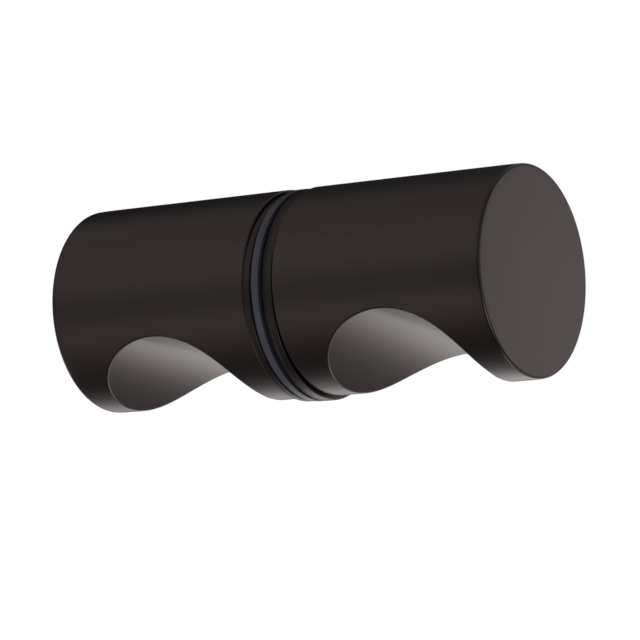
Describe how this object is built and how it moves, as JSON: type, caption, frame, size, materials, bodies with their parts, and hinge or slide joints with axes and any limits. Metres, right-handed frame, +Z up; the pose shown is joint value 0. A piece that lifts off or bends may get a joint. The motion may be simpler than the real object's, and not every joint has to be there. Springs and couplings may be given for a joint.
{
  "type": "shower door handle",
  "caption": "Back-to-back shower door handle: solid cylindrical knobs with finger notches underneath, joined through the glass by a stud, rings and clear gaskets.",
  "frame": {"origin": "on the knobs' axis, at the middle of the joint, where the glass goes", "axes": "+X along the knobs' axis towards the outside knob, +Z up, finger notches facing -Z"},
  "size_m": [0.0772, 0.0335, 0.0328],
  "materials": {
    "bronze": "satin",
    "ring_bronze": "satin",
    "clear_vinyl": "satin",
    "stud_steel": "satin",
    "sleeve_nylon": "matte"
  },
  "bodies": {
    "root": {"outside_knob": "bronze", "inside_knob": "bronze", "outside_ring": "ring_bronze", "inside_ring": "ring_bronze", "outside_gasket": "clear_vinyl", "inside_gasket": "clear_vinyl", "stud": "stud_steel", "sleeve": "sleeve_nylon"}
  },
  "joints": []
}
